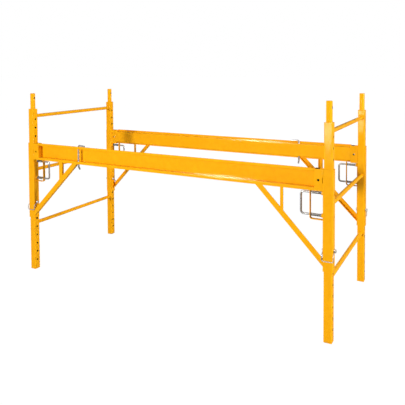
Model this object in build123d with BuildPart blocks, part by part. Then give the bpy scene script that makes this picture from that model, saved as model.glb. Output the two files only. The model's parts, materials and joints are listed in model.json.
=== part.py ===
"""Frame scaffold section: two ladder end frames joined by two side brackets.

X runs along the section's length, Y across it, Z up. The origin is on the ground, midway between
the four uprights. The two brackets are the same part, so everything on the back bracket is the
front bracket's piece turned 180 degrees about Z.
"""

import os
from math import cos, radians, tan

from build123d import *

# ---------------------------------------------------------------- driving dimensions (mm)
INCH = 25.4

LENGTH = 1814.5  # between upright centres, along X
WIDTH = 29 * INCH  # between upright centres, along Y

# uprights
TUBE = 1.5 * INCH
TUBE_WALL = 2.0
TUBE_CORNER = 4.0
HEIGHT = 38.75 * INCH
HOLE = 7 / 16 * INCH
HOLE_PITCH = 2 * INCH
HOLE_COUNT = 18
LOWEST_HOLE = 2.25 * INCH

# rungs and spigots
RUNG_DIAMETER = 21.3
RUNG_WALL = 2.0
RUNG_TOP = HEIGHT - 43.25
RUNG_PITCH = 13 * INCH
SPIGOT_DIAMETER = 28.6
SPIGOT_WALL = 2.9
SPIGOT_RISE = 3.75 * INCH
SPIGOT_SEAT = 30.0
SPIGOT_HOLE_DROP = 29.5
PLUG_FIT = 0.1

# sleeves: distances named OUT are measured outwards from the uprights' centre plane
SLEEVE_WALL = 3.0
SLEEVE_SIDE_GAP = 0.9
SLEEVE_FACE_GAP = 0.4
SLEEVE_BOTTOM = 320.5
SLEEVE_HEIGHT = 18 * INCH
SLEEVE_LIP_OUT = -15.0
SLEEVE_BEND = 4.0

OUTER_OUT = TUBE / 2 + SLEEVE_FACE_GAP + SLEEVE_WALL  # the bracket's outer face
SLEEVE_HALF = TUBE / 2 + SLEEVE_SIDE_GAP + SLEEVE_WALL

# deck rail
RAIL_SHEET = 2.7
RAIL_BEND = 4.0
RAIL_DEPTH = 1.25 * INCH
RAIL_HEIGHT = 4 * INCH
RAIL_BOTTOM = 678.4
RAIL_LIP = 0.5 * INCH
RAIL_END = 845.0
DECK_SCREW_HOLE = 8.0

WEB_OUT = OUTER_OUT - RAIL_DEPTH  # the rail's inner face
FLANGE_LOW = RAIL_BOTTOM + RAIL_LIP
LEDGE = RAIL_BOTTOM + RAIL_HEIGHT - RAIL_LIP

# end connectors
CONNECTOR_SHEET = 3.0
CONNECTOR_BEND = 3.5
CONNECTOR_TOP = 777.0
CONNECTOR_HOLE_X = 864.4
CONNECTOR_HOLE_Z = 727.6
SLOT_WIDTH = 2.5
SLOT_HEIGHT = 24.0

# knee braces and struts: x where a brace's upper edge meets the rail, and its slope in degrees
ANGLE_LEG = INCH
ANGLE_SHEET = 3.2
BRACE_FLANGE = 20.0
LEFT_BRACE_X = 577.0
LEFT_BRACE_SLOPE = 45.0
RIGHT_BRACE_X = 600.0
RIGHT_BRACE_SLOPE = 46.3
STRUT_X = 653.0
STRUT_FLANGE = 12.7
BAR_STRUT_X = 694.5
BAR_STRUT_WIDTH = 14.3
BAR_STRUT_THICKNESS = 4.8

# lock pins, one row of holes 4 in apart
ROD = 3 / 8 * INCH
LOCK_ROWS = (LOWEST_HOLE + 10 * HOLE_PITCH, LOWEST_HOLE + 12 * HOLE_PITCH)
HANDLE_X = 779.5
HANDLE_BEND = 12.7
PIN_TIP_X = 903.0
STRAP_X = 822.5
STRAP_WIDTH = 15.9
STRAP_THICKNESS = 3.2
STRAP_FOOT = 546.0
STRAP_BEND = 10.0
BUSHING_DIAMETER = 19.05
BUSHING_LENGTH = 9.0
COLLAR_DIAMETER = 15.9
COLLAR_LENGTH = 2.5
COLLAR_GAP = 0.5
SPRING_OUTER = 14.3
SPRING_INNER = 10.7
SPRING_END_GAP = 0.3

# snap pins
SNAP_ROW = LOWEST_HOLE + 7 * HOLE_PITCH
WIRE = 4.0
EYE_INNER = 10.6
EYE_GAP = 0.4
HEAD_DIAMETER = 16.0
HEAD_LENGTH = 5.0
SNAP_TIP = 8.0
BAIL_OUT = 26.2
BAIL_KNEE_DROP = 18.0
BAIL_DROP = 44.0
BAIL_BEND = 7.0

# deck latches
LATCH_X = 533.0
LATCH_CLEARANCE = 0.5
LATCH_ARM_LENGTH = 45.0
LATCH_ARM_DIP = 3.0
LATCH_ARM_GAP = 0.5
LATCH_BEND = 8.0
LATCH_FOOT = 647.0
LATCH_TAIL = 10.0
LATCH_TAIL_RISE = 16.0

HALF_LENGTH = LENGTH / 2
HALF_WIDTH = WIDTH / 2
POST_Y = -HALF_WIDTH  # the front uprights' centre plane
SLEEVE_FACE = HALF_LENGTH - SLEEVE_HALF  # the sleeve's face towards mid-length

os.makedirs("parts", exist_ok=True)


def write(piece, name):
    """Label a finished piece and write its STEP file."""
    piece.label = name
    export_step(piece, f"parts/{name}.step")


def write_both(piece, front, back):
    """Write a piece of the front bracket, and the same piece turned onto the back bracket."""
    write(piece, front)
    write(piece.rotate(Axis.Z, 180), back)


def write_right_end(piece, name):
    """Write a piece of the front bracket's right end: turned, it is at the back left."""
    write_both(piece, f"{name}_right_front", f"{name}_left_back")


def write_left_end(piece, name):
    """The same for the left end, from a piece drawn at the right end and mirrored."""
    write_both(mirror(piece, about=Plane.YZ), f"{name}_left_front", f"{name}_right_back")


def write_all_ends(piece, name):
    """Write a piece that is alike at all four corners, drawn at the front right."""
    write_right_end(piece, name)
    write_left_end(piece, name)


def out(distance):
    """Y of a plane that lies this far outwards from the front uprights' centre plane."""
    return POST_Y - distance


def fold_sheet(plane, face_line, bends, sheet, length):
    """A folded sheet: its section lies to the left of this line, one bend radius a corner."""
    with BuildPart() as folded:
        with BuildSketch(plane):
            with BuildLine():
                FilletPolyline(*face_line, radius=bends)
                offset(amount=sheet, side=Side.LEFT)
            make_face()
        extrude(amount=length)
    return folded


# ---------------------------------------------------------------- end frames
def make_upright(x, y):
    """A square tube with a column of holes through its two end faces."""
    with BuildPart() as upright:
        with BuildSketch():
            with Locations((x, y)):
                RectangleRounded(TUBE, TUBE, TUBE_CORNER)
                RectangleRounded(
                    TUBE - 2 * TUBE_WALL,
                    TUBE - 2 * TUBE_WALL,
                    TUBE_CORNER - TUBE_WALL,
                    mode=Mode.SUBTRACT,
                )
        extrude(amount=HEIGHT)
        middle_hole = LOWEST_HOLE + (HOLE_COUNT - 1) * HOLE_PITCH / 2
        with BuildSketch(Plane.YZ.offset(x)):
            with Locations((y, middle_hole)):
                with GridLocations(1, HOLE_PITCH, 1, HOLE_COUNT):
                    Circle(HOLE / 2)
        extrude(amount=TUBE, both=True, mode=Mode.SUBTRACT)
    return upright


def make_spigot(x, y):
    """A tube with a square plug that fills the upright's top, and a cross hole near its end."""
    plug = TUBE - 2 * TUBE_WALL - 2 * PLUG_FIT
    with BuildPart() as spigot:
        with BuildSketch(Plane.XY.offset(HEIGHT - SPIGOT_SEAT)):
            with Locations((x, y)):
                RectangleRounded(plug, plug, TUBE_CORNER - TUBE_WALL)
        extrude(amount=SPIGOT_SEAT)
        with BuildSketch(Plane.XY.offset(HEIGHT)):
            with Locations((x, y)):
                Circle(SPIGOT_DIAMETER / 2)
        extrude(amount=SPIGOT_RISE)
        chamfer(spigot.edges().filter_by(GeomType.CIRCLE).sort_by(Axis.Z)[-1], 1.5)
        with BuildSketch(Plane.XY.offset(HEIGHT - SPIGOT_SEAT)):
            with Locations((x, y)):
                Circle(SPIGOT_DIAMETER / 2 - SPIGOT_WALL)
        extrude(amount=SPIGOT_SEAT + SPIGOT_RISE, mode=Mode.SUBTRACT)
        with BuildSketch(Plane.YZ.offset(x)):
            with Locations((y, HEIGHT + SPIGOT_RISE - SPIGOT_HOLE_DROP)):
                Circle(HOLE / 2)
        extrude(amount=SPIGOT_DIAMETER, both=True, mode=Mode.SUBTRACT)
    return spigot


def make_rung(x, z):
    """A round tube between the two uprights of one end frame."""
    reach = HALF_WIDTH - TUBE / 2
    with BuildPart() as rung:
        with BuildSketch(Plane.XZ.offset(-reach)):
            with Locations((x, z)):
                Circle(RUNG_DIAMETER / 2)
                Circle(RUNG_DIAMETER / 2 - RUNG_WALL, mode=Mode.SUBTRACT)
        extrude(amount=2 * reach)
    return rung


for side, x in (("left", -HALF_LENGTH), ("right", HALF_LENGTH)):
    for depth, y in (("front", POST_Y), ("back", -POST_Y)):
        upright = make_upright(x, y)
        write(upright.part, f"upright_{side}_{depth}")
        spigot = make_spigot(x, y)
        write(spigot.part, f"spigot_{side}_{depth}")
    for level, place in enumerate(("top", "middle", "bottom")):
        rung = make_rung(x, RUNG_TOP - level * RUNG_PITCH)
        write(rung.part, f"rung_{side}_{place}")

# ---------------------------------------------------------------- brackets: rail and latch
lip_y = out(OUTER_OUT - RAIL_SHEET)
web_y = out(WEB_OUT)
latch_y = out(OUTER_OUT - RAIL_SHEET - ROD / 2 - LATCH_CLEARANCE)
inner_bend = RAIL_BEND - RAIL_SHEET

# lower lip, lower flange, web, ledge and upper lip, in one folded sheet that opens outwards
rail_line = [
    (lip_y, RAIL_BOTTOM),
    (lip_y, FLANGE_LOW),
    (web_y, FLANGE_LOW),
    (web_y, LEDGE),
    (lip_y, LEDGE),
    (lip_y, RAIL_BOTTOM + RAIL_HEIGHT),
]
rail_bends = [inner_bend, RAIL_BEND, RAIL_BEND, inner_bend]
with BuildPart() as rail:
    sheet = fold_sheet(
        Plane.YZ.offset(-RAIL_END), rail_line, rail_bends, RAIL_SHEET, 2 * RAIL_END
    )
    add(sheet.part)
    with BuildSketch(Plane.XY.offset(FLANGE_LOW - RAIL_SHEET)):
        with Locations((-LATCH_X, latch_y)):
            Circle(HOLE / 2)
    extrude(amount=RAIL_HEIGHT, mode=Mode.SUBTRACT)
    with BuildSketch(Plane.XY.offset(LEDGE - RAIL_LIP)):
        with Locations((0, out((OUTER_OUT + WEB_OUT) / 2))):
            Circle(DECK_SCREW_HOLE / 2)
    extrude(amount=RAIL_LIP, mode=Mode.SUBTRACT)
write_both(rail.part, "rail_front", "rail_back")

arm_z = RAIL_BOTTOM + RAIL_HEIGHT + ROD / 2 + LATCH_ARM_GAP
with BuildPart() as deck_latch:
    with BuildLine() as latch_route:
        FilletPolyline(
            (-LATCH_X + LATCH_ARM_LENGTH, latch_y, arm_z - LATCH_ARM_DIP),
            (-LATCH_X + LATCH_ARM_LENGTH / 2, latch_y, arm_z),
            (-LATCH_X, latch_y, arm_z),
            (-LATCH_X, latch_y, LATCH_FOOT + LATCH_TAIL_RISE),
            (-LATCH_X, latch_y + LATCH_TAIL, LATCH_FOOT),
            radius=LATCH_BEND,
        )
    with BuildSketch(Plane(origin=latch_route.line @ 0, z_dir=latch_route.line % 0)):
        Circle(ROD / 2)
    sweep()
write_both(deck_latch.part, "deck_latch_front", "deck_latch_back")


# ---------------------------------------------------------------- brackets: ends
# Each piece is drawn at the front bracket's right end.
# a channel around three faces of the upright, open towards the deck
sleeve_line = [
    (HALF_LENGTH - SLEEVE_HALF, out(SLEEVE_LIP_OUT)),
    (HALF_LENGTH - SLEEVE_HALF, out(OUTER_OUT)),
    (HALF_LENGTH + SLEEVE_HALF, out(OUTER_OUT)),
    (HALF_LENGTH + SLEEVE_HALF, out(SLEEVE_LIP_OUT)),
]
with BuildPart() as sleeve:
    channel = fold_sheet(
        Plane.XY.offset(SLEEVE_BOTTOM), sleeve_line, SLEEVE_BEND, SLEEVE_WALL, SLEEVE_HEIGHT
    )
    add(channel.part)
    with BuildSketch(Plane.YZ.offset(HALF_LENGTH)):
        with Locations(*[(POST_Y, z) for z in (*LOCK_ROWS, SNAP_ROW)]):
            Circle(HOLE / 2)
    extrude(amount=TUBE, both=True, mode=Mode.SUBTRACT)
write_all_ends(sleeve.part, "sleeve")

# a U in plan: its base closes the rail's end and its two legs reach the sleeve
connector_line = [
    (SLEEVE_FACE, out(WEB_OUT)),
    (RAIL_END, out(WEB_OUT)),
    (RAIL_END, out(OUTER_OUT)),
    (SLEEVE_FACE, out(OUTER_OUT)),
]
with BuildPart() as end_connector:
    channel = fold_sheet(
        Plane.XY.offset(RAIL_BOTTOM),
        connector_line,
        CONNECTOR_BEND,
        CONNECTOR_SHEET,
        CONNECTOR_TOP - RAIL_BOTTOM,
    )
    add(channel.part)
    with BuildSketch(Plane.XZ.offset(-POST_Y)):
        with Locations((CONNECTOR_HOLE_X, CONNECTOR_HOLE_Z)):
            Circle(HOLE / 2)
    extrude(amount=RAIL_DEPTH, both=True, mode=Mode.SUBTRACT)
    with BuildSketch(Plane.XZ.offset(-out(OUTER_OUT - CONNECTOR_SHEET - 1))):
        with Locations((SLEEVE_FACE - SLOT_WIDTH / 2, CONNECTOR_HOLE_Z)):
            Rectangle(SLOT_WIDTH, SLOT_HEIGHT)
    extrude(amount=CONNECTOR_SHEET + 2, mode=Mode.SUBTRACT)
write_all_ends(end_connector.part, "end_connector")


# ---------------------------------------------------------------- brackets: knee braces
def plate(outline, thickness):
    """A plate with this (x, z) outline, its face flush with the bracket's outer face."""
    with BuildPart() as flat:
        with BuildSketch(Plane.XZ.offset(-out(OUTER_OUT - thickness))):
            with BuildLine():
                Polyline(*outline, close=True)
            make_face()
        extrude(amount=thickness)
        split(bisect_by=Plane.XY.offset(RAIL_BOTTOM), keep=Keep.BOTTOM)
    return flat


def brace_strip(corner_x, slope, near, far):
    """A sloping strip this far from the brace's upper edge, from above the rail to the sleeve."""
    top_x = corner_x - RAIL_HEIGHT
    top_z = RAIL_BOTTOM + RAIL_HEIGHT * tan(slope)
    foot_z = RAIL_BOTTOM - (SLEEVE_FACE - corner_x) * tan(slope)
    near_drop, far_drop = near / cos(slope), far / cos(slope)
    return [
        (top_x, top_z - near_drop),
        (SLEEVE_FACE, foot_z - near_drop),
        (SLEEVE_FACE, foot_z - far_drop),
        (top_x, top_z - far_drop),
    ]


def make_brace(corner_x, slope):
    """A steel angle: a leg in the bracket's outer face and a leg inwards along its low edge."""
    face = plate(brace_strip(corner_x, slope, 0, ANGLE_LEG), ANGLE_SHEET)
    lower_leg = plate(
        brace_strip(corner_x, slope, ANGLE_LEG - ANGLE_SHEET, ANGLE_LEG), BRACE_FLANGE
    )
    with BuildPart() as brace:
        add(face.part)
        add(lower_leg.part)
    return brace


def strut_outline(near_x, far_x, corner_x, slope):
    """From the rail's lower edge down to the brace's upper edge, between two upright lines."""
    return [
        (near_x, RAIL_BOTTOM),
        (far_x, RAIL_BOTTOM),
        (far_x, RAIL_BOTTOM - (far_x - corner_x) * tan(slope)),
        (near_x, RAIL_BOTTOM - (near_x - corner_x) * tan(slope)),
    ]


# the left end's brace is stiffened by a short angle
left_brace = make_brace(LEFT_BRACE_X, radians(LEFT_BRACE_SLOPE))
write_left_end(left_brace.part, "knee_brace")
left_run = (LEFT_BRACE_X, radians(LEFT_BRACE_SLOPE))
strut_face = plate(strut_outline(STRUT_X, STRUT_X + ANGLE_LEG, *left_run), ANGLE_SHEET)
strut_leg = plate(strut_outline(STRUT_X, STRUT_X + ANGLE_SHEET, *left_run), STRUT_FLANGE)
with BuildPart() as angle_strut:
    add(strut_face.part)
    add(strut_leg.part)
write_left_end(angle_strut.part, "strut")

# the right end's by a flat bar
right_run = (RIGHT_BRACE_X, radians(RIGHT_BRACE_SLOPE))
right_brace = make_brace(*right_run)
write_right_end(right_brace.part, "knee_brace")
bar_near = BAR_STRUT_X - BAR_STRUT_WIDTH / 2
bar_strut = plate(
    strut_outline(bar_near, bar_near + BAR_STRUT_WIDTH, *right_run), BAR_STRUT_THICKNESS
)
write_right_end(bar_strut.part, "strut")

# ---------------------------------------------------------------- brackets: lock pins
# a flat bar from the rail's lower flange, down and across to the sleeve
strap_near = STRAP_X - STRAP_THICKNESS / 2
strap_low = STRAP_FOOT - STRAP_THICKNESS / 2
strap_line = [(strap_near, FLANGE_LOW), (strap_near, strap_low), (SLEEVE_FACE, strap_low)]
with BuildPart() as pin_strap:
    bar = fold_sheet(
        Plane.XZ.offset(-out(-STRAP_WIDTH / 2)),
        strap_line,
        STRAP_BEND + STRAP_THICKNESS / 2,
        STRAP_THICKNESS,
        STRAP_WIDTH,
    )
    add(bar.part)
    with BuildSketch(Plane.YZ.offset(STRAP_X)):
        with Locations(*[(POST_Y, z) for z in LOCK_ROWS]):
            Circle(HOLE / 2)
    extrude(amount=STRAP_THICKNESS, both=True, mode=Mode.SUBTRACT)
write_all_ends(pin_strap.part, "pin_strap")


def make_rings(start, length, outer, inner):
    """A ring around each leg of one lock pin, its axis along X."""
    with BuildPart() as rings:
        with BuildSketch(Plane.YZ.offset(start)):
            with Locations(*[(POST_Y, z) for z in LOCK_ROWS]):
                Circle(outer / 2)
                Circle(inner / 2, mode=Mode.SUBTRACT)
        extrude(amount=length)
    return rings


# one bent rod: a handle bar and two legs that end inside the upright
low_row, high_row = LOCK_ROWS
with BuildPart() as lock_pin:
    with BuildLine() as pin_route:
        FilletPolyline(
            (PIN_TIP_X, POST_Y, high_row),
            (HANDLE_X, POST_Y, high_row),
            (HANDLE_X, POST_Y, low_row),
            (PIN_TIP_X, POST_Y, low_row),
            radius=HANDLE_BEND,
        )
    with BuildSketch(Plane(origin=pin_route.line @ 0, z_dir=pin_route.line % 0)):
        Circle(ROD / 2)
    sweep()
    chamfer(lock_pin.faces().filter_by(Axis.X).edges().filter_by(GeomType.CIRCLE), 1.5)
write_all_ends(lock_pin.part, "lock_pin")

bushing_x = SLEEVE_FACE - BUSHING_LENGTH
collar_x = bushing_x - COLLAR_GAP - COLLAR_LENGTH
spring_x = STRAP_X + STRAP_THICKNESS / 2 + SPRING_END_GAP
spring_length = collar_x - SPRING_END_GAP - spring_x
lock_springs = make_rings(spring_x, spring_length, SPRING_OUTER, SPRING_INNER)
write_all_ends(lock_springs.part, "lock_springs")
spring_collars = make_rings(collar_x, COLLAR_LENGTH, COLLAR_DIAMETER, ROD)
write_all_ends(spring_collars.part, "spring_collars")
end_bushings = make_rings(bushing_x, BUSHING_LENGTH, BUSHING_DIAMETER, HOLE)
with BuildPart() as pin_bushings:
    add(end_bushings.part)
    mirror(about=Plane.YZ)
write_both(pin_bushings.part, "pin_bushings_front", "pin_bushings_back")

# ---------------------------------------------------------------- brackets: snap pins
head_x = HALF_LENGTH + SLEEVE_HALF + 2 * EYE_GAP + WIRE
tip_x = SLEEVE_FACE - SNAP_TIP
with BuildPart() as snap_pin:
    with BuildSketch(Plane.YZ.offset(tip_x)):
        with Locations((POST_Y, SNAP_ROW)):
            Circle(ROD / 2)
    extrude(amount=head_x - tip_x)
    fillet(snap_pin.edges().filter_by(GeomType.CIRCLE).sort_by(Axis.X)[0], 2.5)
    with BuildSketch(Plane.YZ.offset(head_x)):
        with Locations((POST_Y, SNAP_ROW)):
            Circle(HEAD_DIAMETER / 2)
    extrude(amount=HEAD_LENGTH)
    fillet(snap_pin.edges().filter_by(GeomType.CIRCLE).sort_by(Axis.X)[-1], 1.5)
write_all_ends(snap_pin.part, "snap_pin")

# a wire loop: an eye at each end of the snap pin and a cranked band across the sleeve
eye_radius = EYE_INNER / 2 + WIRE / 2
near_eye = SLEEVE_FACE - EYE_GAP - WIRE / 2
far_eye = HALF_LENGTH + SLEEVE_HALF + EYE_GAP + WIRE / 2
knee_z = SNAP_ROW - BAIL_KNEE_DROP
eye_z = SNAP_ROW - BAIL_KNEE_DROP * eye_radius / BAIL_OUT
with BuildPart() as snap_bail:
    with BuildLine() as bail_route:
        FilletPolyline(
            (near_eye, out(eye_radius), eye_z),
            (near_eye, out(BAIL_OUT), knee_z),
            (near_eye, out(BAIL_OUT), SNAP_ROW - BAIL_DROP),
            (far_eye, out(BAIL_OUT), SNAP_ROW - BAIL_DROP),
            (far_eye, out(BAIL_OUT), knee_z),
            (far_eye, out(eye_radius), eye_z),
            radius=BAIL_BEND,
        )
    with BuildSketch(Plane(origin=bail_route.line @ 0, z_dir=bail_route.line % 0)):
        Circle(WIRE / 2)
    sweep()
    with Locations(Plane(origin=(near_eye, POST_Y, SNAP_ROW), z_dir=(1, 0, 0))):
        Torus(eye_radius, WIRE / 2)
    with Locations(Plane(origin=(far_eye, POST_Y, SNAP_ROW), z_dir=(1, 0, 0))):
        Torus(eye_radius, WIRE / 2)
write_all_ends(snap_bail.part, "snap_bail")
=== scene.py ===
import json
import math
import random
from functools import partial

import bpy
from mathutils import Matrix, Vector


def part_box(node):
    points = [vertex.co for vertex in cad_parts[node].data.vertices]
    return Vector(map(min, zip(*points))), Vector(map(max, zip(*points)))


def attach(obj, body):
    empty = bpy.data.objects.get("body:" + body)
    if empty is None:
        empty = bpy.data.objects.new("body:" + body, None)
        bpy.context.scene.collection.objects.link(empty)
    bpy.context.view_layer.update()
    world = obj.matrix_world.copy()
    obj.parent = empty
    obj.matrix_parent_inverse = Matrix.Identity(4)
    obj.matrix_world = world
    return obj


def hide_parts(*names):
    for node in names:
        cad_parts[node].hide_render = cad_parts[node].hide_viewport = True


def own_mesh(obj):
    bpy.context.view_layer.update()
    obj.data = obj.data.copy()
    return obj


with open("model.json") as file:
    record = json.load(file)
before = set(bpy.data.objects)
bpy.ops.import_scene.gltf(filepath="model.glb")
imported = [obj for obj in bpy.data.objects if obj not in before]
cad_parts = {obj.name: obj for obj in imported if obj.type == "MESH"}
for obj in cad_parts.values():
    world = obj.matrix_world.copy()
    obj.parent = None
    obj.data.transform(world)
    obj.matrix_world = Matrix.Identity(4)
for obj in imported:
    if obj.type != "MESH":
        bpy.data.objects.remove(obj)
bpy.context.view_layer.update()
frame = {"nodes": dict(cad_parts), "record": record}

MM = 0.001
SIDES = {"left": -1, "right": 1}
DEPTHS = {"front": -1, "back": 1}
CORNERS = [(side, depth) for side in SIDES for depth in DEPTHS]
FRAME_BODY = "frame"


# ---------------------------------------------------------------- camera
CAMERA_PLACE = (1.4635, -2.5759, 1.2199)
CAMERA_YAW = math.radians(-28.3526)
CAMERA_PITCH = math.radians(2.1412)
CAMERA_ROLL = math.radians(-0.3015)
PICTURE = 405.0
FOCAL_PIXELS = 502.366
SENSOR = 36.0
CENTRE_X, CENTRE_Y = 202.379, 88.248


def add_camera():
    """The photograph's viewpoint: a level camera with its frame shifted down."""
    yaw, pitch, roll = CAMERA_YAW, CAMERA_PITCH, CAMERA_ROLL
    forward = Vector((math.sin(yaw) * math.cos(pitch), math.cos(yaw) * math.cos(pitch),
                      -math.sin(pitch)))
    level = Vector((math.cos(yaw), -math.sin(yaw), 0.0))
    over = level.cross(forward)
    right = level * math.cos(roll) + over * math.sin(roll)
    up = over * math.cos(roll) - level * math.sin(roll)
    data = bpy.data.cameras.new("camera")
    data.sensor_fit = "HORIZONTAL"
    data.sensor_width = SENSOR
    data.lens = FOCAL_PIXELS / PICTURE * SENSOR
    data.shift_x = (PICTURE / 2 - CENTRE_X) / PICTURE
    data.shift_y = (CENTRE_Y - PICTURE / 2) / PICTURE
    data.clip_end = 200.0
    camera = bpy.data.objects.new("camera", data)
    bpy.context.collection.objects.link(camera)
    turn = Matrix((right, up, -forward)).transposed().to_4x4()
    camera.matrix_world = Matrix.Translation(CAMERA_PLACE) @ turn
    bpy.context.scene.camera = camera


add_camera()


# ---------------------------------------------------------------- materials
def new_material(name):
    """A node material with its shader; returns it, its tree, the shader and the node maker."""
    material = bpy.data.materials.new(name)
    material.use_nodes = True
    tree = material.node_tree
    shader = tree.nodes["Principled BSDF"]

    return material, tree, shader, tree.nodes.new


def noise(tree, node, place, scale, detail=3.0, roughness=0.5, distortion=0.0):
    """A noise texture over the model's own coordinates; scale is in cycles a metre."""
    texture = node("ShaderNodeTexNoise")
    texture.inputs["Scale"].default_value = scale
    texture.inputs["Detail"].default_value = detail
    texture.inputs["Roughness"].default_value = roughness
    texture.inputs["Distortion"].default_value = distortion
    tree.links.new(place, texture.inputs["Vector"])
    return texture.outputs["Fac"]


def spread(tree, node, value, low_in, high_in, low_out, high_out):
    """Map a value's range to another, clamped."""
    remap = node("ShaderNodeMapRange")
    remap.inputs["From Min"].default_value = low_in
    remap.inputs["From Max"].default_value = high_in
    remap.inputs["To Min"].default_value = low_out
    remap.inputs["To Max"].default_value = high_out
    tree.links.new(value, remap.inputs["Value"])
    return remap.outputs["Result"]


def blend_colour(tree, node, share, first, second):
    """Mix two colours (a tuple or a socket each) by a share."""
    mix = node("ShaderNodeMix")
    mix.data_type = "RGBA"
    for socket, colour in ((mix.inputs[6], first), (mix.inputs[7], second)):
        if isinstance(colour, tuple):
            socket.default_value = (*colour, 1.0)
        else:
            tree.links.new(colour, socket)
    tree.links.new(share, mix.inputs[0])
    return mix.outputs[2]


def multiply(tree, node, first, second):
    """The product of two value sockets."""
    product = node("ShaderNodeMath")
    product.operation = "MULTIPLY"
    tree.links.new(first, product.inputs[0])
    tree.links.new(second, product.inputs[1])
    return product.outputs[0]


PAINT = (0.93, 0.41, 0.004)
PAINT_THICK = (0.86, 0.352, 0.002)
PAINT_THIN = (0.96, 0.435, 0.005)
PRIMER = (0.16, 0.13, 0.10)
# painted shade: near black for the insides of the tubes, spigots and connector pockets, seen
# through holes and slots
PAINTED_SHADE_COLOUR = (0.022, 0.018, 0.014)
PAINT_ROUGHNESS = (0.1, 0.17)
PAINT_IOR = 1.45
PAINT_TINT = (1.0, 0.9, 0.6, 1.0)
THICK_MOST = 0.55  # share of the thick colour at most
# noise scales, in cycles a metre
PATCH_SCALE, RUN_SCALE, GLOSS_SCALE = 9.0, 45.0, 60.0
WEAR_SCALE, FLAKE_SCALE, PEEL_SCALE = 90.0, 420.0, 520.0
PEEL_STRENGTH, PEEL_HEIGHT = 0.07, 0.5 * MM
WEAR_RADIUS, WEAR_MOST, WEAR_SAMPLES = 1.1 * MM, 0.2, 4
CHIP_HEIGHT = 14 * MM
MASK_EDGE = 0.1 * MM


def wear_mask(tree, node, place):
    """1 on worn edges: where a rounded normal leaves the true one, broken up by noise."""
    rounded = node("ShaderNodeBevel")
    rounded.samples = WEAR_SAMPLES
    rounded.inputs["Radius"].default_value = WEAR_RADIUS
    true = node("ShaderNodeNewGeometry")
    agree = node("ShaderNodeVectorMath")
    agree.operation = "DOT_PRODUCT"
    tree.links.new(rounded.outputs["Normal"], agree.inputs[0])
    tree.links.new(true.outputs["Normal"], agree.inputs[1])
    edge = spread(tree, node, agree.outputs["Value"], 0.8, 0.99, 1.0, 0.0)
    broken = spread(tree, node, noise(tree, node, place, WEAR_SCALE, 5.0, 0.65), 0.54, 0.64,
                    0.0, 1.0)
    return multiply(tree, node, edge, broken)


def inside_mask(tree, node, place, centre, half):
    """1 where a point is within `half` of `centre` on each axis, in folded coordinates."""
    folded = node("ShaderNodeVectorMath")
    folded.operation = "ABSOLUTE"
    tree.links.new(place, folded.inputs[0])
    shifted = node("ShaderNodeVectorMath")
    shifted.operation = "SUBTRACT"
    tree.links.new(folded.outputs[0], shifted.inputs[0])
    shifted.inputs[1].default_value = centre
    off = node("ShaderNodeVectorMath")
    off.operation = "ABSOLUTE"
    tree.links.new(shifted.outputs[0], off.inputs[0])
    axes = node("ShaderNodeSeparateXYZ")
    tree.links.new(off.outputs[0], axes.inputs[0])
    mask = None
    for axis, reach in zip("XYZ", half):
        within = spread(tree, node, axes.outputs[axis], reach - MASK_EDGE, reach + MASK_EDGE,
                        1.0, 0.0)
        mask = within if mask is None else multiply(tree, node, mask, within)
    return mask


def add_bump(tree, node, shader, height, strength, distance):
    """Give the shader a bump from a height socket."""
    bump = node("ShaderNodeBump")
    bump.inputs["Strength"].default_value = strength
    bump.inputs["Distance"].default_value = distance
    tree.links.new(height, bump.inputs["Height"])
    tree.links.new(bump.outputs["Normal"], shader.inputs["Normal"])


def paint_material(name, inside=()):
    """Sprayed enamel: orange peel, uneven coat, worn edges, chipped feet, and near-black painted
    shade inside the given boxes.
    """
    material, tree, shader, node = new_material(name)
    place = node("ShaderNodeTexCoord").outputs["Object"]
    patches = spread(tree, node, noise(tree, node, place, PATCH_SCALE, 4.0, 0.55), 0.35, 0.65,
                     0.0, 1.0)
    runs = spread(tree, node, noise(tree, node, place, RUN_SCALE, 3.0, 0.6), 0.4, 0.75,
                  0.0, THICK_MOST)
    colour = blend_colour(tree, node, patches, PAINT, PAINT_THIN)
    colour = blend_colour(tree, node, runs, colour, PAINT_THICK)
    height = node("ShaderNodeSeparateXYZ")
    tree.links.new(place, height.inputs[0])
    near_foot = spread(tree, node, height.outputs["Z"], 0.0, CHIP_HEIGHT, 1.0, 0.0)
    flakes = spread(tree, node, noise(tree, node, place, FLAKE_SCALE, 5.0, 0.7), 0.56, 0.6,
                    0.0, 1.0)
    chips = multiply(tree, node, near_foot, flakes)
    colour = blend_colour(tree, node, chips, colour, PRIMER)
    worn = spread(tree, node, wear_mask(tree, node, place), 0.0, 1.0, 0.0, WEAR_MOST)
    colour = blend_colour(tree, node, worn, colour, PRIMER)
    gloss = spread(tree, node, noise(tree, node, place, GLOSS_SCALE, 4.0, 0.6), 0.3, 0.7,
                   *PAINT_ROUGHNESS)
    # painted shade: near black inside each box (tube and pocket insides, hole walls), where the
    # paint is really only in shade
    for box in inside:
        painted_shade_share = inside_mask(tree, node, place, *box)
        colour = blend_colour(tree, node, painted_shade_share, colour, PAINTED_SHADE_COLOUR)
    tree.links.new(colour, shader.inputs["Base Color"])
    tree.links.new(gloss, shader.inputs["Roughness"])
    shader.inputs["IOR"].default_value = PAINT_IOR
    shader.inputs["Specular Tint"].default_value = PAINT_TINT
    add_bump(tree, node, shader, noise(tree, node, place, PEEL_SCALE, 2.0, 0.5), PEEL_STRENGTH,
             PEEL_HEIGHT)
    return material


MOTTLE_SCALE, SHEEN_SCALE = 120.0, 300.0
METAL_SHARE = 0.8
MARK_STRENGTH, MARK_HEIGHT, MARK_TWIST = 0.1, 0.3 * MM, 0.4


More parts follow.
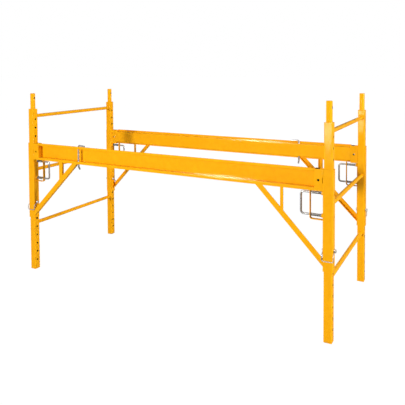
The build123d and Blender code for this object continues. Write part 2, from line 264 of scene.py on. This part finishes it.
def metal_material(name, light, dark, rough_low, rough_high, grain):
    """Plated steel: mottled brightness, uneven gloss and fine draw marks."""
    material, tree, shader, node = new_material(name)
    place = node("ShaderNodeTexCoord").outputs["Object"]
    mottle = spread(tree, node, noise(tree, node, place, MOTTLE_SCALE, 4.0, 0.6), 0.35, 0.7,
                    0.0, 1.0)
    tree.links.new(blend_colour(tree, node, mottle, light, dark), shader.inputs["Base Color"])
    shader.inputs["Metallic"].default_value = METAL_SHARE
    gloss = spread(tree, node, noise(tree, node, place, SHEEN_SCALE, 3.0, 0.6), 0.3, 0.7,
                   rough_low, rough_high)
    tree.links.new(gloss, shader.inputs["Roughness"])
    add_bump(tree, node, shader, noise(tree, node, place, grain, 3.0, 0.6, MARK_TWIST),
             MARK_STRENGTH, MARK_HEIGHT)
    return material


def folded_box(node, trim):
    """A node's box about its middle with its sides trimmed, for inside_mask."""
    low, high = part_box(node)
    centre = [abs(a + b) / 2 for a, b in zip(low, high)]
    half = [(b - a) / 2 - cut for a, b, cut in zip(low, high, trim)]
    return centre, half


# boxes that get painted shade: the insides of the uprights, spigots and connector pockets,
# trimmed so the hole walls are dark too
TUBE_INSIDE = [folded_box("upright_right_front", (1.5 * MM, 1.5 * MM, 0.3 * MM)),
               folded_box("upright_right_front", (0.3 * MM, 4.3 * MM, 0.3 * MM))]
PIPE_INSIDE = [folded_box("spigot_right_front", (8.2 * MM, 8.2 * MM, 0.3 * MM)),
               folded_box("spigot_right_front", (4.0 * MM, 11.2 * MM, 0.3 * MM))]
POCKET_SHARE = 9.0 * MM  # the half nearer the rail gets the painted shade; the outer half keeps its yellow
POCKET_INSIDE = [folded_box("end_connector_right_front", (2.0 * MM, 0.45 * MM, 0.3 * MM))]
for box_x in POCKET_INSIDE[0]:
    box_x[0] -= POCKET_SHARE

paint = paint_material("yellow_enamel")
tube_paint = paint_material("yellow_enamel_tube_shaded_inside", TUBE_INSIDE)
pipe_paint = paint_material("yellow_enamel_pipe_shaded_inside", PIPE_INSIDE)
pocket_paint = paint_material("yellow_enamel_connector_shaded_inside", POCKET_INSIDE)
zinc = metal_material("bright_zinc", (0.66, 0.64, 0.61), (0.44, 0.43, 0.41), 0.24, 0.36, 900.0)
spring_steel = metal_material("spring_zinc", (0.42, 0.41, 0.39), (0.26, 0.25, 0.24), 0.22, 0.34,
                              1400.0)
wire_steel = metal_material("wire_zinc", (0.72, 0.70, 0.67), (0.52, 0.51, 0.49), 0.3, 0.42,
                            1100.0)
SLOT_MATERIAL = {"yellow_paint": paint, "zinc_rod": zinc, "spring_steel": spring_steel,
                 "plated_wire": wire_steel}
NODE_MATERIAL = {"upright": tube_paint, "spigot": pipe_paint, "end_connector": pocket_paint}

for part in frame["record"]["subparts"]:
    node_object = frame["nodes"][part["node"]]
    family = next((key for key in NODE_MATERIAL if part["node"].startswith(key + "_")), None)
    node_object.data.materials.clear()
    node_object.data.materials.append(NODE_MATERIAL[family] if family
                                      else SLOT_MATERIAL[part["material_slot"]])


# ---------------------------------------------------------------- mesh helpers
def sweep_mesh(name, runs, sides, material):
    """One object on the frame from round runs, each (points, radii, closed)."""
    vertices, faces = [], []
    for points, radii, closed in runs:
        points = [Vector(p) for p in points]
        count = len(points)
        first = len(vertices)
        spans = [points[(i + 1) % count] - points[i - 1] for i in range(count)]
        if not closed:
            spans[0] = points[1] - points[0]
            spans[-1] = points[-1] - points[-2]
        across = spans[0].orthogonal().normalized()
        if closed:  # a planar loop: its axis is a frame that closes
            across = (points[1] - points[0]).cross(points[2] - points[1]).normalized()
        for point, span, radius in zip(points, spans, radii):
            along = span.normalized()
            across = (across - along * across.dot(along)).normalized()
            other = along.cross(across)
            for k in range(sides):
                angle = 2 * math.pi * k / sides
                vertices.append(point + (across * math.cos(angle) + other * math.sin(angle))
                                * radius)
        for i in range(count if closed else count - 1):
            j = (i + 1) % count
            for k in range(sides):
                n = (k + 1) % sides
                faces.append((first + i * sides + k, first + i * sides + n,
                              first + j * sides + n, first + j * sides + k))
        if not closed:
            for end, order in ((0, -1), (count - 1, 1)):
                ring = [first + end * sides + k for k in range(sides)]
                faces.append(tuple(ring[::order]))
    mesh = bpy.data.meshes.new(name)
    mesh.from_pydata([tuple(v) for v in vertices], [], faces)
    mesh.polygons.foreach_set("use_smooth", [True] * len(faces))
    mesh.materials.append(material)
    mesh.validate()
    made = bpy.data.objects.new(name, mesh)
    bpy.context.collection.objects.link(made)
    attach(made, FRAME_BODY)
    return made


def even_points(points, closed, step):
    """Points along a chain of straight runs, evenly spaced."""
    points = [Vector(p) for p in points]
    if closed:
        points.append(points[0].copy())
    lengths = [(b - a).length for a, b in zip(points, points[1:])]
    total = sum(lengths)
    count = max(4, round(total / step))
    placed, run, gone = [], 0, 0.0
    for i in range(count if closed else count + 1):
        want = total * i / count
        while run < len(lengths) - 1 and gone + lengths[run] < want:
            gone += lengths[run]
            run += 1
        share = (want - gone) / lengths[run] if lengths[run] else 0.0
        placed.append(points[run].lerp(points[run + 1], min(max(share, 0.0), 1.0)))
    return placed, total


BEAD_STEP = 0.5 * MM
BEAD_RIPPLE = 2.1 * MM
BEAD_SIDES = 10
BEAD_UNEVEN = 0.07
BEAD_DIP = 0.14
# radii of the weld beads
RUNG_BEAD, FACE_BEAD, BEND_BEAD = 2.3 * MM, 2.1 * MM, 1.8 * MM
FLANGE_BEAD, SEAM_BEAD, THIN_BEAD = 1.7 * MM, 1.6 * MM, 1.5 * MM
SPIGOT_RING, BUSHING_RING = 14.6 * MM, 10.0 * MM
chance = random.Random(11)


def bead(points, radius, closed=False):
    """A weld bead along a path: overlapping ripples, slightly uneven, with rounded ends."""
    placed, total = even_points(points, closed, BEAD_STEP)
    ripples = max(2, round(total / BEAD_RIPPLE))
    sizes = [1 + chance.uniform(-BEAD_UNEVEN, BEAD_UNEVEN) for _ in range(ripples + 1)]
    radii = []
    for i in range(len(placed)):
        along = ripples * i / len(placed)
        size = sizes[int(along) % len(sizes)]
        ripple = 1 - BEAD_DIP + BEAD_DIP * math.sqrt(abs(math.sin(math.pi * along)))
        radii.append(radius * size * ripple)
    if not closed:
        for i in range(len(radii)):
            from_end = min(i, len(radii) - 1 - i) * BEAD_STEP
            if from_end < radius:
                round_off = math.sqrt(max(0.04, 1 - (1 - from_end / radius) ** 2))
                radii[i] *= round_off
    return placed, radii, closed


def circle(centre, axis, radius, count=48):
    """Points of a circle about a world axis, "x", "y" or "z"."""
    points = []
    for i in range(count):
        a = 2 * math.pi * i / count
        u, v = radius * math.cos(a), radius * math.sin(a)
        shift = {"x": (0.0, u, v), "y": (u, 0.0, v), "z": (u, v, 0.0)}[axis]
        points.append(tuple(c + d for c, d in zip(centre, shift)))
    return points


# ---------------------------------------------------------------- places read from the frame
def box_of(node):
    low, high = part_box(node)
    return Vector(low), Vector(high)


def middle(node):
    low, high = box_of(node)
    return (low + high) / 2


post = {corner: middle(f"upright_{corner[0]}_{corner[1]}") for corner in CORNERS}
POST_X = abs(post[("right", "front")].x)
POST_Y = abs(post[("right", "front")].y)
TUBE_HALF = (box_of("upright_right_front")[1].x - box_of("upright_right_front")[0].x) / 2
TUBE_TOP = box_of("upright_right_front")[1].z
SLEEVE_LOW, SLEEVE_HIGH = box_of("sleeve_right_front")
SLEEVE_FACE = SLEEVE_LOW.x
OUTER = -POST_Y - SLEEVE_LOW.y
RAIL_LOW, RAIL_HIGH = box_of("rail_front")
WEB = -POST_Y - RAIL_HIGH.y
RAIL_END = RAIL_HIGH.x
CONNECTOR_TOP = box_of("end_connector_right_front")[1].z
RAIL_LIP = 12.7 * MM
STRAP_LOW, STRAP_HIGH = box_of("pin_strap_right_front")
LOCK_LOW, LOCK_HIGH = box_of("lock_pin_right_front")
ROD = LOCK_HIGH.y - LOCK_LOW.y
LOCK_ROWS = (LOCK_LOW.z + ROD / 2, LOCK_HIGH.z - ROD / 2)


def corner_point(corner, x, out, z):
    """A point by its distance from mid-length, outwards from the posts' plane, and height."""
    return (SIDES[corner[0]] * x, DEPTHS[corner[1]] * (POST_Y + out), z)


# ---------------------------------------------------------------- welds on the end frames
RUNG_SINK, RUNG_SPARE, SPIGOT_LIFT = 0.6 * MM, 0.7 * MM, 0.3 * MM


for corner in CORNERS:
    side, depth = corner
    runs = []
    for place in ("top", "middle", "bottom"):
        low, high = box_of(f"rung_{side}_{place}")
        centre = ((low.x + high.x) / 2, DEPTHS[depth] * (POST_Y - TUBE_HALF - RUNG_SINK),
                  (low.z + high.z) / 2)
        rung_radius = (high.z - low.z) / 2
        runs.append(bead(circle(centre, "y", rung_radius + RUNG_SPARE), RUNG_BEAD, closed=True))
    sweep_mesh(f"rung_welds_{side}_{depth}", runs, BEAD_SIDES, paint)
    stub = (post[corner].x, post[corner].y, TUBE_TOP + SPIGOT_LIFT)
    runs = [bead(circle(stub, "z", SPIGOT_RING), FLANGE_BEAD, closed=True)]
    sweep_mesh(f"spigot_weld_{side}_{depth}", runs, BEAD_SIDES, paint)


# ---------------------------------------------------------------- welds on the brackets
BRACE_LEG = 25.4 * MM
BRACE_SLOPE_LATCH_END, BRACE_SLOPE_PLAIN_END = math.radians(45.0), math.radians(46.3)


def brace_line(corner):
    """The brace's upper edge: x where it leaves the rail, its slope, and its foot's height."""
    low, high = box_of(f"knee_brace_{corner[0]}_{corner[1]}")
    near = min(abs(low.x), abs(high.x))
    latch_end = (corner[0] == "left") == (corner[1] == "front")
    slope = BRACE_SLOPE_LATCH_END if latch_end else BRACE_SLOPE_PLAIN_END
    return near + BRACE_LEG / math.sin(slope), slope, low.z


SLOT_LOW, SLOT_HIGH = 715.6 * MM, 739.6 * MM  # the connector's slot, which its weld leaves free
# how far a bead's middle lies inside the faces it joins
BEND_IN, BEND_BACK = 1.1 * MM, 1.0 * MM
SEAM_SINK, FACE_SINK, STRAP_SINK = 0.8 * MM, 0.5 * MM, 0.4 * MM
LEG_SINK, STRUT_SINK, FOOT_SINK = 0.6 * MM, 0.7 * MM, 0.3 * MM
# how far a bead stops short of an end, of a fold and of a flange's edge
SHORT, FOLD_SHORT, EDGE_SHORT = 1.0 * MM, 3.0 * MM, 5.0 * MM
BRACE_INNER = 3.0 * MM
BRACE_FOOT_SPAN = (18.0 * MM, 4.0 * MM)
BRACE_FOOT_SHORT = 1.5 * MM
STRAP_HALF = 1.6 * MM
for corner in CORNERS:
    side, depth = corner
    at = partial(corner_point, corner)
    rail_low, ledge = RAIL_LOW.z, RAIL_HIGH.z - RAIL_LIP
    flange = rail_low + RAIL_LIP
    runs = []
    # connector to sleeve: outer leg in the sleeve's bend, inner leg on the sleeve's face
    bend_x, bend_out = SLEEVE_FACE + BEND_IN, OUTER - BEND_BACK
    for low_z, high_z in ((rail_low + SHORT, SLOT_LOW - SHORT),
                          (SLOT_HIGH + SHORT, CONNECTOR_TOP - SHORT)):
        runs.append(bead([at(bend_x, bend_out, low_z), at(bend_x, bend_out, high_z)], BEND_BEAD))
    inner_x, inner_out = SLEEVE_FACE - LEG_SINK, WEB - FACE_SINK
    runs.append(bead([at(inner_x, inner_out, rail_low + SHORT),
                      at(inner_x, inner_out, CONNECTOR_TOP - SHORT)], FACE_BEAD))
    # rail to connector: the web's end, both lips, the ledge and the lower flange
    seam, lip_out = RAIL_END + SEAM_SINK, OUTER - SEAM_SINK
    runs.append(bead([at(seam, WEB + SEAM_SINK, flange + FOLD_SHORT),
                      at(seam, WEB + SEAM_SINK, ledge - FOLD_SHORT)], SEAM_BEAD))
    for low_z, high_z in ((rail_low + SHORT, flange - FOLD_SHORT),
                          (ledge + FOLD_SHORT, CONNECTOR_TOP - SHORT)):
        runs.append(bead([at(seam, lip_out, low_z), at(seam, lip_out, high_z)], SEAM_BEAD))
    for level in (ledge + FACE_SINK, flange - FACE_SINK):
        runs.append(bead([at(RAIL_END - FACE_SINK, WEB + EDGE_SHORT, level),
                          at(RAIL_END - FACE_SINK, OUTER - EDGE_SHORT, level)], FLANGE_BEAD))
    # brace to rail, outside and inside, and to the sleeve
    corner_x, slope, foot_z = brace_line(corner)
    run = BRACE_LEG / math.sin(slope)
    for out in (OUTER - SEAM_SINK, OUTER - BRACE_INNER):
        runs.append(bead([at(corner_x - run + EDGE_SHORT, out, rail_low),
                          at(corner_x - SHORT, out, rail_low)], SEAM_BEAD))
    drop = BRACE_LEG / math.cos(slope)
    runs.append(bead([at(bend_x, bend_out, foot_z + BRACE_FOOT_SHORT),
                      at(bend_x, bend_out, foot_z + drop - SHORT)], BEND_BEAD))
    runs.append(bead([at(SLEEVE_FACE - FACE_SINK, OUTER - reach, foot_z - FOOT_SINK)
                      for reach in BRACE_FOOT_SPAN], FLANGE_BEAD))
    # strut to rail and to the brace's upper edge
    low, high = box_of(f"strut_{side}_{depth}")
    near, far = sorted((abs(low.x), abs(high.x)))
    out = OUTER - STRUT_SINK
    ends = (near + SHORT, far - SHORT)
    runs.append(bead([at(x, out, rail_low) for x in ends], THIN_BEAD))
    edge = [at(x, out, rail_low - (x - corner_x) * math.tan(slope)) for x in ends]
    runs.append(bead(edge, THIN_BEAD))
    # strap to flange and to the sleeve
    strap_x, strap_z = STRAP_LOW.x + STRAP_HALF, STRAP_LOW.z + STRAP_HALF
    width = (STRAP_HIGH.y - STRAP_LOW.y) / 2 - SHORT
    for way in (-1, 1):
        off = way * (STRAP_HALF + STRAP_SINK)
        runs.append(bead([at(strap_x + off, y, flange - STRAP_SINK) for y in (-width, width)],
                         THIN_BEAD))
        runs.append(bead([at(SLEEVE_FACE - STRAP_SINK, y, strap_z + off)
                          for y in (-width, width)], THIN_BEAD))
    # bushings to sleeve
    for row in LOCK_ROWS:
        ring = circle(at(SLEEVE_FACE - FACE_SINK, 0.0, row), "x", BUSHING_RING)
        runs.append(bead(ring, THIN_BEAD, closed=True))
    sweep_mesh(f"bracket_welds_{side}_{depth}", runs, BEAD_SIDES, paint)


# ---------------------------------------------------------------- coil springs
COIL_OUTER = 14.3 * MM
COIL_WIRE = 1.8 * MM
COIL_STEPS = 22
COIL_SIDES = 9
END_TURNS, BODY_TURNS = 1.25, 8.5


def coil(start, length, centre_y, centre_z, way):
    """A compression spring along X with closed ends."""
    radius = (COIL_OUTER - COIL_WIRE) / 2
    turns = 2 * END_TURNS + BODY_TURNS
    free = length - COIL_WIRE
    closed_pitch = COIL_WIRE * 1.04
    body_pitch = (free - 2 * END_TURNS * closed_pitch) / BODY_TURNS
    points = []
    for i in range(int(turns * COIL_STEPS) + 1):
        turn = i / COIL_STEPS
        gone = closed_pitch * min(turn, END_TURNS)
        gone += body_pitch * min(max(turn - END_TURNS, 0.0), BODY_TURNS)
        gone += closed_pitch * max(turn - END_TURNS - BODY_TURNS, 0.0)
        angle = 2 * math.pi * turn
        points.append((start + way * (COIL_WIRE / 2 + gone),
                       centre_y + radius * math.cos(angle), centre_z + radius * math.sin(angle)))
    return points, [COIL_WIRE / 2] * len(points), False


for corner in CORNERS:
    side, depth = corner
    way = SIDES[side]
    low, high = box_of(f"lock_springs_{side}_{depth}")
    near, far = sorted((abs(low.x), abs(high.x)))
    runs = [coil(way * near, far - near, (low.y + high.y) / 2, row, way)
            for row in LOCK_ROWS]
    spring = sweep_mesh(f"coil_springs_{side}_{depth}", runs, COIL_SIDES, spring_steel)
    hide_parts(f"lock_springs_{side}_{depth}")
    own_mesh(spring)


# ---------------------------------------------------------------- floor, background and lights
FLOOR_HALF = 60.0
FLOOR_WHITE = 1.0
FLOOR_SHADE = 0.02
FLOOR_GREY = 0.42
FLOOR_MIRRORED = 0.1
ROOM_LIGHT = 0.16
GLOSS_LOW, GLOSS_HIGH = 0.1, 0.6  # the room in reflections, low down and overhead
GLOSS_RISE = (0.15, 0.9)


def add_floor():
    """A large white floor; it bounces light as a mid grey and is dark in reflections."""
    mesh = bpy.data.meshes.new("floor")
    corners = ((-1, -1), (1, -1), (1, 1), (-1, 1))
    mesh.from_pydata([(x * FLOOR_HALF, y * FLOOR_HALF, 0) for x, y in corners], [],
                     [(0, 1, 2, 3)])
    floor = bpy.data.objects.new("floor", mesh)
    bpy.context.collection.objects.link(floor)
    material = bpy.data.materials.new("floor")
    material.use_nodes = True
    tree = material.node_tree
    tree.nodes.remove(tree.nodes["Principled BSDF"])
    seen = tree.nodes.new("ShaderNodeLightPath")
    dim = tree.nodes.new("ShaderNodeBsdfDiffuse")
    dim.inputs["Color"].default_value = (FLOOR_GREY, FLOOR_GREY, FLOOR_GREY, 1)
    pale = tree.nodes.new("ShaderNodeBsdfDiffuse")
    pale.inputs["Color"].default_value = (FLOOR_SHADE, FLOOR_SHADE, FLOOR_SHADE, 1)
    dark = tree.nodes.new("ShaderNodeEmission")
    dark.inputs["Strength"].default_value = FLOOR_MIRRORED
    by_gloss = tree.nodes.new("ShaderNodeMixShader")
    tree.links.new(seen.outputs["Is Glossy Ray"], by_gloss.inputs[0])
    tree.links.new(dim.outputs[0], by_gloss.inputs[1])
    tree.links.new(dark.outputs[0], by_gloss.inputs[2])
    lift = tree.nodes.new("ShaderNodeEmission")
    lift.inputs["Strength"].default_value = FLOOR_WHITE
    both = tree.nodes.new("ShaderNodeAddShader")
    mix = tree.nodes.new("ShaderNodeMixShader")
    tree.links.new(pale.outputs[0], both.inputs[0])
    tree.links.new(lift.outputs[0], both.inputs[1])
    tree.links.new(seen.outputs["Is Camera Ray"], mix.inputs[0])
    tree.links.new(by_gloss.outputs[0], mix.inputs[1])
    tree.links.new(both.outputs[0], mix.inputs[2])
    tree.links.new(mix.outputs[0], tree.nodes["Material Output"].inputs["Surface"])
    floor.data.materials.append(material)


def add_world():
    """White behind the object; a dim even room lights it, darker at eye level in reflections."""
    world = bpy.data.worlds.new("studio")
    bpy.context.scene.world = world
    world.use_nodes = True
    tree = world.node_tree
    room = tree.nodes["Background"]
    room.inputs["Color"].default_value = (1.0, 1.0, 1.0, 1)
    room.inputs["Strength"].default_value = ROOM_LIGHT
    mirrored = tree.nodes.new("ShaderNodeBackground")
    where = tree.nodes.new("ShaderNodeTexCoord")
    axes = tree.nodes.new("ShaderNodeSeparateXYZ")
    rise = tree.nodes.new("ShaderNodeMapRange")
    for socket, value in zip(("From Min", "From Max", "To Min", "To Max"),
                             (*GLOSS_RISE, GLOSS_LOW, GLOSS_HIGH)):
        rise.inputs[socket].default_value = value
    tree.links.new(where.outputs["Generated"], axes.inputs[0])
    tree.links.new(axes.outputs["Z"], rise.inputs["Value"])
    tree.links.new(rise.outputs["Result"], mirrored.inputs["Strength"])
    white = tree.nodes.new("ShaderNodeBackground")
    white.inputs["Color"].default_value = (1.0, 1.0, 1.0, 1)
    white.inputs["Strength"].default_value = 1.0
    seen = tree.nodes.new("ShaderNodeLightPath")
    by_gloss = tree.nodes.new("ShaderNodeMixShader")
    by_camera = tree.nodes.new("ShaderNodeMixShader")
    tree.links.new(seen.outputs["Is Glossy Ray"], by_gloss.inputs[0])
    tree.links.new(room.outputs[0], by_gloss.inputs[1])
    tree.links.new(mirrored.outputs[0], by_gloss.inputs[2])
    tree.links.new(seen.outputs["Is Camera Ray"], by_camera.inputs[0])
    tree.links.new(by_gloss.outputs[0], by_camera.inputs[1])
    tree.links.new(white.outputs[0], by_camera.inputs[2])
    tree.links.new(by_camera.outputs[0], tree.nodes["World Output"].inputs["Surface"])


def add_lamp(name, data, place, target, mirrored, lights):
    """Put a light in the scene, facing a point."""
    lamp = bpy.data.objects.new(name, data)
    bpy.context.collection.objects.link(lamp)
    aim = Vector(target) - Vector(place)
    lamp.matrix_world = (Matrix.Translation(place)
                         @ aim.to_track_quat("-Z", "Y").to_matrix().to_4x4())
    lamp.visible_glossy = mirrored
    lamp.visible_diffuse = lights


def add_light(name, place, target, width, height, power, mirrored=True, lights=True):
    """A soft box that faces a point; it can be left out of reflections or of plain light."""
    data = bpy.data.lights.new(name, "AREA")
    data.shape = "RECTANGLE"
    data.size, data.size_y = width, height
    data.energy = power
    add_lamp(name, data, place, target, mirrored, lights)


def add_spot(name, place, target, cone, radius, power):
    """A soft round lamp, brightest where it is aimed."""
    data = bpy.data.lights.new(name, "SPOT")
    data.spot_size = math.radians(cone)
    data.spot_blend = 1.0
    data.shadow_soft_size = radius
    data.energy = power
    add_lamp(name, data, place, target, True, True)


add_floor()
add_world()
add_spot("key_front", (-2.1, -5.5, 1.75), (1.6, -0.4, 0.6), 82.0, 0.3, 1330.0)
add_light("glint", (-0.44, -5.7, 0.38), (0.9, -0.4, 0.95), 0.5, 0.45, 10.0, lights=False)
add_light("key_right", (8.0, -0.45, 1.7), (0.0, 0.0, 0.6), 1.8, 1.6, 640.0)
add_light("top", (0.0, 0.0, 5.5), (0.0, 0.0, 0.0), 4.0, 3.0, 35.0)
add_light("fill_back", (-2.5, 7.0, 2.2), (0.0, 0.0, 0.6), 3.0, 2.4, 330.0, mirrored=False)
add_light("fill_left", (-8.0, 1.0, 1.6), (0.0, 0.0, 0.6), 2.4, 2.0, 430.0, mirrored=False)

scene = bpy.context.scene
scene.view_settings.view_transform = "Standard"
scene.view_settings.look = "None"

bpy.context.view_layer.update()
